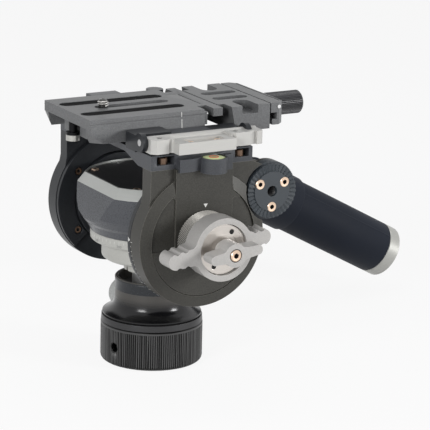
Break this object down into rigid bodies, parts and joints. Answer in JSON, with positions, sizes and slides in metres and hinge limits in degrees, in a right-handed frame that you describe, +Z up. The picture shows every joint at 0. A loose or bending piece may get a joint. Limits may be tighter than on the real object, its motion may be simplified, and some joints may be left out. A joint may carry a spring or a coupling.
{
  "type": "fluid video head",
  "caption": "Two-axis fluid camera head with a knurled round base, tilting yoke, sliding quick-release plate, lock levers and an angled pan handle.",
  "frame": {"origin": "bottom centre of the round base, on the pan axis, where the tripod thread opens", "axes": "+Z up along the pan axis, +X towards the controls, -Y towards the lens, +Y towards the handle's end"},
  "size_m": [0.1886, 0.2743, 0.16],
  "materials": {
    "black_anodised": "satin",
    "warm_grey_anodised": "fine speckled satin",
    "slate_anodised": "satin",
    "silver_anodised": "satin",
    "machined_silver": "fine turned",
    "drum_dark": "semi gloss",
    "rosette_dark": "satin",
    "black_plastic": "matte",
    "grey_plastic": "satin",
    "steel": "turned",
    "bronze": "turned",
    "copper_screw": "satin",
    "rubber_grip": "matte",
    "rubber_strip": "matte",
    "level_glass": "clear"
  },
  "bodies": {
    "base": {"base_plate": "black_anodised", "base_screws": "steel", "base_collar": "black_anodised", "pan_housing": "black_anodised", "pan_bush": "black_plastic"},
    "base_lock_ring": {"base_lock_ring": "black_anodised"},
    "pan_lock": {"pan_lock_knob": "grey_plastic", "pan_lock_stem": "steel"},
    "pan_head": {"pan_spindle": "steel", "pan_spindle_nut": "steel", "pan_journal": "silver_anodised", "pan_lower_ring": "silver_anodised", "pan_scale_ring": "silver_anodised", "drum_shell": "drum_dark", "drum_trim": "silver_anodised", "drum_cap": "black_plastic", "drum_cap_screws": "copper_screw", "tilt_scale_ring": "black_anodised", "far_flange": "black_anodised", "tilt_shaft": "steel", "tilt_damper": "black_plastic", "counterbalance_spring": "steel", "shaft_nut": "machined_silver", "shaft_screw": "copper_screw"},
    "tilt_yoke": {"control_side_plate": "warm_grey_anodised", "control_side_cover": "warm_grey_anodised", "tilt_bushes": "bronze", "control_rosette": "rosette_dark", "handle_side_rosette": "rosette_dark", "rosette_screws": "copper_screw", "far_side_plate": "black_anodised", "far_side_ring": "black_anodised", "far_ring_screws": "copper_screw", "platform": "slate_anodised", "platform_screws": "copper_screw", "level_bracket": "slate_anodised", "level_vial": "level_glass", "far_clamp_rail": "slate_anodised"},
    "friction_dial": {"friction_dial": "silver_anodised"},
    "tilt_lock_lever": {"tilt_lock_lever": "silver_anodised"},
    "shaft_lever": {"shaft_lever": "silver_anodised"},
    "clamp_jaw": {"clamp_jaw": "slate_anodised", "clamp_hinge_block": "slate_anodised", "clamp_pin": "steel"},
    "clamp_lever": {"clamp_bar": "silver_anodised", "clamp_bar_screws": "silver_anodised"},
    "camera_plate": {"camera_plate": "slate_anodised", "plate_end_pins": "steel", "grip_strips": "rubber_strip", "stop_screw": "steel", "rear_clamp_body": "slate_anodised"},
    "camera_screw": {"camera_screw": "steel"},
    "rear_jaw": {"rear_jaw": "slate_anodised", "rear_jaw_pins": "steel"},
    "rear_knob": {"rear_knob": "black_anodised"},
    "handle": {"handle_head": "black_anodised", "handle_tube": "black_anodised", "handle_grip": "rubber_grip", "handle_end_cap": "silver_anodised", "handle_bolt": "black_plastic"}
  },
  "joints": [
    {"name": "pan", "type": "hinge", "parent": "base", "child": "pan_head", "pos_m": [0, 0, 0.05], "axis": [0, 0, 1], "continuous": true},
    {"name": "base_ring_turn", "type": "hinge", "parent": "base", "child": "base_lock_ring", "pos_m": [0, 0, 0.012], "axis": [0, 0, 1], "range_deg": [0, 90]},
    {"name": "pan_lock_turn", "type": "hinge", "parent": "base", "child": "pan_lock", "pos_m": [-0.0335, 0, 0.0304], "axis": [-1, 0, 0], "range_deg": [-360, 0]},
    {"name": "tilt", "type": "hinge", "parent": "pan_head", "child": "tilt_yoke", "pos_m": [0, 0, 0.0877], "axis": [1, 0, 0], "range_deg": [-75, 90]},
    {"name": "friction_dial_turn", "type": "hinge", "parent": "tilt_yoke", "child": "friction_dial", "pos_m": [0, 0, 0.0877], "axis": [1, 0, 0], "range_deg": [-150, 150]},
    {"name": "tilt_lock_turn", "type": "hinge", "parent": "tilt_yoke", "child": "tilt_lock_lever", "pos_m": [0, 0, 0.0877], "axis": [1, 0, 0], "range_deg": [-60, 30]},
    {"name": "shaft_lever_turn", "type": "hinge", "parent": "pan_head", "child": "shaft_lever", "pos_m": [0, 0, 0.0877], "axis": [1, 0, 0], "range_deg": [-60, 60]},
    {"name": "clamp_jaw_slide", "type": "slide", "parent": "tilt_yoke", "child": "clamp_jaw", "axis": [1, 0, 0], "range_m": [0, 0.002]},
    {"name": "clamp_lever_flip", "type": "hinge", "parent": "clamp_jaw", "child": "clamp_lever", "pos_m": [0.0495, 0, 0.1451], "axis": [0, -1, 0], "range_deg": [0, 90]},
    {"name": "plate_slide", "type": "slide", "parent": "tilt_yoke", "child": "camera_plate", "axis": [0, 1, 0], "range_m": [-0.03, 0.0155]},
    {"name": "camera_screw_turn", "type": "hinge", "parent": "camera_plate", "child": "camera_screw", "pos_m": [0, -0.034, 0.15], "axis": [0, 0, 1], "continuous": true},
    {"name": "rear_jaw_slide", "type": "slide", "parent": "camera_plate", "child": "rear_jaw", "axis": [0, 1, 0], "range_m": [0, 0.004]},
    {"name": "rear_knob_turn", "type": "hinge", "parent": "rear_jaw", "child": "rear_knob", "pos_m": [0, 0.085, 0.1473], "axis": [0, 1, 0], "range_deg": [0, 1440]},
    {"name": "handle_pivot", "type": "hinge", "parent": "tilt_yoke", "child": "handle", "pos_m": [-0.0721, 0.0454, 0.1109], "axis": [1, 0, 0], "range_deg": [-60, 115]}
  ],
  "couplings": [
    {"joint": "clamp_lever_flip", "follows": "clamp_jaw_slide", "rad_per_m": 785},
    {"joint": "rear_knob_turn", "follows": "rear_jaw_slide", "rad_per_m": 6283}
  ]
}
